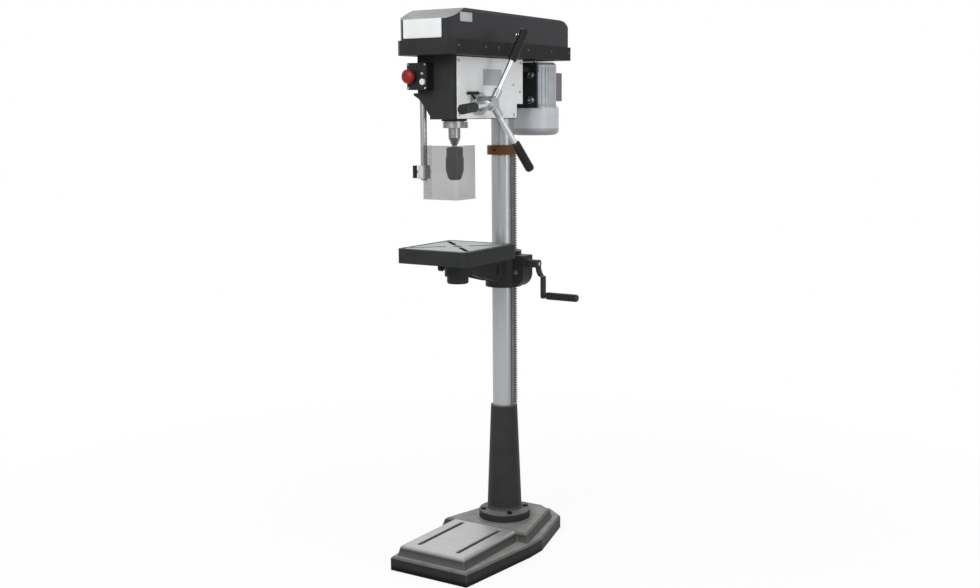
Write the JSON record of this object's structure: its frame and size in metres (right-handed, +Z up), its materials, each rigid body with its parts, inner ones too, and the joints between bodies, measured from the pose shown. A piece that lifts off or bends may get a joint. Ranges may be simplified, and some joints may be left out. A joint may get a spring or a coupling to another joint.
{
  "type": "pillar drill press",
  "caption": "Floor-standing pillar drill press with belt drive under a hinged cover, lever-fed quill, chuck guard and crank-lifted tilting table.",
  "frame": {"origin": "column axis where it meets the floor", "axes": "+Z up along the column, -Y towards the operator, +X towards the feed levers"},
  "size_m": [0.4423, 0.7776, 1.692],
  "materials": {
    "cast_dark": "satin dark grey paint on cast iron",
    "base_paint": "satin grey paint on cast iron, machined pad bare",
    "cover_paint": "fine textured anthracite paint",
    "panel_white": "smooth light paint",
    "motor_grey": "smooth light grey paint",
    "steel": "ground steel",
    "bright": "bright plated steel",
    "black_oxide": "blackened steel",
    "collar_brown": "brown oiled cast iron",
    "table_iron": "dark paint with a ground top",
    "alloy": "turned alloy",
    "black_plastic": "matte black",
    "red_plastic": "glossy red",
    "white_plastic": "glossy white",
    "belt_rubber": "rubber and cord",
    "clear_shield": "clear plastic sheet"
  },
  "bodies": {
    "frame": {"base_plate": "base_paint", "column_socket": "cast_dark", "flange_bolts": "black_oxide", "column": "steel", "rack_collar": "collar_brown", "head_casting": "cast_dark", "side_panels": "panel_white", "belt_tray": "cover_paint", "lid_hinge_pins": "steel", "switch_housing": "cast_dark", "switch_plate": "black_plastic", "spring_cap": "cast_dark", "return_spring": "steel", "guard_bracket": "cast_dark", "front_belt": "belt_rubber", "rear_belt": "belt_rubber"},
    "rack": {"table_rack": "steel"},
    "bracket": {"table_bracket": "cast_dark", "tilt_bolt": "steel"},
    "column_lever": {"column_clamp_lever": "black_plastic"},
    "lift_pinion": {"lift_pinion": "steel"},
    "crank": {"crank_shaft": "steel", "crank_arm": "cast_dark"},
    "crank_grip": {"crank_grip": "black_plastic"},
    "arm": {"table_arm": "cast_dark"},
    "table": {"table": "table_iron", "stem_ring": "cast_dark"},
    "table_lever": {"table_clamp_lever": "black_plastic"},
    "lid": {"belt_cover": "cover_paint"},
    "stop_button": {"stop_button": "red_plastic"},
    "start_button": {"start_button": "white_plastic"},
    "quill": {"quill": "steel", "quill_collar": "steel", "quill_bearings": "steel"},
    "spindle": {"spindle": "steel", "chuck_body": "black_oxide"},
    "chuck_sleeve": {"chuck_sleeve": "black_oxide"},
    "jaw_1": {"chuck_jaw_1": "steel"},
    "jaw_2": {"chuck_jaw_2": "steel"},
    "jaw_3": {"chuck_jaw_3": "steel"},
    "drive": {"drive_sleeve": "steel", "spindle_pulley": "alloy"},
    "idler_arm": {"idler_arm": "cast_dark"},
    "idler": {"idler_pulley": "alloy"},
    "motor": {"motor_plate": "cast_dark", "motor_body": "motor_grey", "motor_cowl": "motor_grey", "terminal_box": "motor_grey"},
    "motor_rotor": {"motor_shaft": "steel", "motor_pulley": "alloy"},
    "feed": {"feed_shaft": "steel", "feed_hub": "alloy", "feed_levers": "bright", "lever_grips": "black_plastic"},
    "dial": {"depth_dial": "alloy"},
    "dial_clamp": {"depth_clamp": "black_plastic"},
    "guard_post": {"guard_rod": "bright"},
    "guard": {"guard_clamp": "black_plastic", "guard_shield": "clear_shield"},
    "guard_knob": {"guard_knob": "black_plastic"}
  },
  "joints": [
    {"name": "table_swing", "type": "hinge", "parent": "frame", "child": "rack", "pos_m": [0, 0, 0.9], "axis": [0, 0, 1], "range_deg": [-90, 90]},
    {"name": "table_lift", "type": "slide", "parent": "rack", "child": "bracket", "axis": [0, 0, 1], "range_m": [-0.38, 0.02]},
    {"name": "column_clamp", "type": "hinge", "parent": "bracket", "child": "column_lever", "pos_m": [-0.03, 0.076, 0.905], "axis": [1, 0, 0], "range_deg": [-35, 35]},
    {"name": "lift_pinion_spin", "type": "hinge", "parent": "bracket", "child": "lift_pinion", "pos_m": [0.06275, 0, 0.892], "axis": [0, 1, 0], "range_deg": [-62, 1162]},
    {"name": "crank_turn", "type": "hinge", "parent": "bracket", "child": "crank", "pos_m": [0.12, 0, 0.92115], "axis": [1, 0, 0], "range_deg": [-17420, 918]},
    {"name": "crank_grip_spin", "type": "hinge", "parent": "crank", "child": "crank_grip", "pos_m": [0.2, 0, 0.82115], "axis": [1, 0, 0], "continuous": true},
    {"name": "table_tilt", "type": "hinge", "parent": "bracket", "child": "arm", "pos_m": [0, -0.066, 0.905], "axis": [0, 1, 0], "range_deg": [-45, 45]},
    {"name": "table_turn", "type": "hinge", "parent": "arm", "child": "table", "pos_m": [0, -0.262, 0.95], "axis": [0, 0, 1], "continuous": true},
    {"name": "table_clamp", "type": "hinge", "parent": "arm", "child": "table_lever", "pos_m": [-0.065, -0.262, 0.9247], "axis": [1, 0, 0], "range_deg": [-40, 15]},
    {"name": "lid_hinge", "type": "hinge", "parent": "frame", "child": "lid", "pos_m": [-0.101, 0, 1.6075], "axis": [0, -1, 0], "range_deg": [0, 100]},
    {"name": "stop_press", "type": "slide", "parent": "frame", "child": "stop_button", "axis": [0, 1, 0], "range_m": [0, 0.004], "stiffness_N_per_m": 600, "springref_m": -0.004},
    {"name": "start_press", "type": "slide", "parent": "frame", "child": "start_button", "axis": [0, 1, 0], "range_m": [0, 0.003], "stiffness_N_per_m": 500, "springref_m": -0.003},
    {"name": "quill_feed", "type": "slide", "parent": "frame", "child": "quill", "axis": [0, 0, -1], "range_m": [0, 0.08], "stiffness_N_per_m": 800, "springref_m": -0.1},
    {"name": "spindle_spin", "type": "hinge", "parent": "quill", "child": "spindle", "pos_m": [0, -0.272, 1.4], "axis": [0, 0, 1], "continuous": true},
    {"name": "chuck_turn", "type": "hinge", "parent": "spindle", "child": "chuck_sleeve", "pos_m": [0, -0.272, 1.23], "axis": [0, 0, 1], "range_deg": [0, 720]},
    {"name": "jaw_1_slide", "type": "slide", "parent": "spindle", "child": "jaw_1", "axis": [-0.1534, -0.0885, -0.9842], "range_m": [0, 0.0241]},
    {"name": "jaw_2_slide", "type": "slide", "parent": "spindle", "child": "jaw_2", "axis": [0.1534, -0.0885, -0.9842], "range_m": [0, 0.0241]},
    {"name": "jaw_3_slide", "type": "slide", "parent": "spindle", "child": "jaw_3", "axis": [0, 0.1771, -0.9842], "range_m": [0, 0.0241]},
    {"name": "drive_spin", "type": "hinge", "parent": "frame", "child": "drive", "pos_m": [0, -0.272, 1.6], "axis": [0, 0, 1], "continuous": true},
    {"name": "idler_swing", "type": "hinge", "parent": "frame", "child": "idler_arm", "pos_m": [0.026, -0.15, 1.57], "axis": [0, 0, 1], "range_deg": [-4, 4], "deforming": ["front_belt", "rear_belt"]},
    {"name": "idler_spin", "type": "hinge", "parent": "idler_arm", "child": "idler", "pos_m": [0, -0.042, 1.6], "axis": [0, 0, 1], "continuous": true},
    {"name": "motor_tension", "type": "slide", "parent": "frame", "child": "motor", "axis": [0, -1, 0], "range_m": [0, 0.015], "deforming": ["rear_belt"]},
    {"name": "motor_spin", "type": "hinge", "parent": "motor", "child": "motor_rotor", "pos_m": [0, 0.2, 1.6], "axis": [0, 0, 1], "continuous": true},
    {"name": "feed_turn", "type": "hinge", "parent": "frame", "child": "feed", "pos_m": [0, -0.2302, 1.421], "axis": [1, 0, 0], "range_deg": [0, 306]},
    {"name": "depth_set", "type": "hinge", "parent": "feed", "child": "dial", "pos_m": [0.063, -0.2302, 1.421], "axis": [1, 0, 0], "range_deg": [-150, 150]},
    {"name": "depth_clamp_turn", "type": "hinge", "parent": "dial", "child": "dial_clamp", "pos_m": [0.063, -0.2302, 1.421], "axis": [0, -0.8387, 0.5446], "range_deg": [-60, 60]},
    {"name": "guard_swing", "type": "hinge", "parent": "frame", "child": "guard_post", "pos_m": [-0.077, -0.322, 1.4], "axis": [0, 0, 1], "range_deg": [-100, 0]},
    {"name": "guard_height", "type": "slide", "parent": "guard_post", "child": "guard", "axis": [0, 0, 1], "range_m": [0, 0.06]},
    {"name": "guard_clamp_turn", "type": "hinge", "parent": "guard", "child": "guard_knob", "pos_m": [-0.1, -0.322, 1.22], "axis": [1, 0, 0], "range_deg": [-90, 90]}
  ],
  "couplings": [
    {"joint": "lift_pinion_spin", "follows": "table_lift", "rad_per_m": -53.333},
    {"joint": "crank_turn", "follows": "table_lift", "rad_per_m": 800},
    {"joint": "feed_turn", "follows": "quill_feed", "rad_per_m": 66.667},
    {"joint": "jaw_1_slide", "follows": "chuck_turn", "m_per_rad": 0.0019099},
    {"joint": "jaw_2_slide", "follows": "chuck_turn", "m_per_rad": 0.0019099},
    {"joint": "jaw_3_slide", "follows": "chuck_turn", "m_per_rad": 0.0019099},
    {"joint": "drive_spin", "follows": "spindle_spin", "ratio": 1},
    {"joint": "idler_spin", "follows": "spindle_spin", "ratio": 1.2703},
    {"joint": "motor_spin", "follows": "spindle_spin", "ratio": 1.6136}
  ]
}
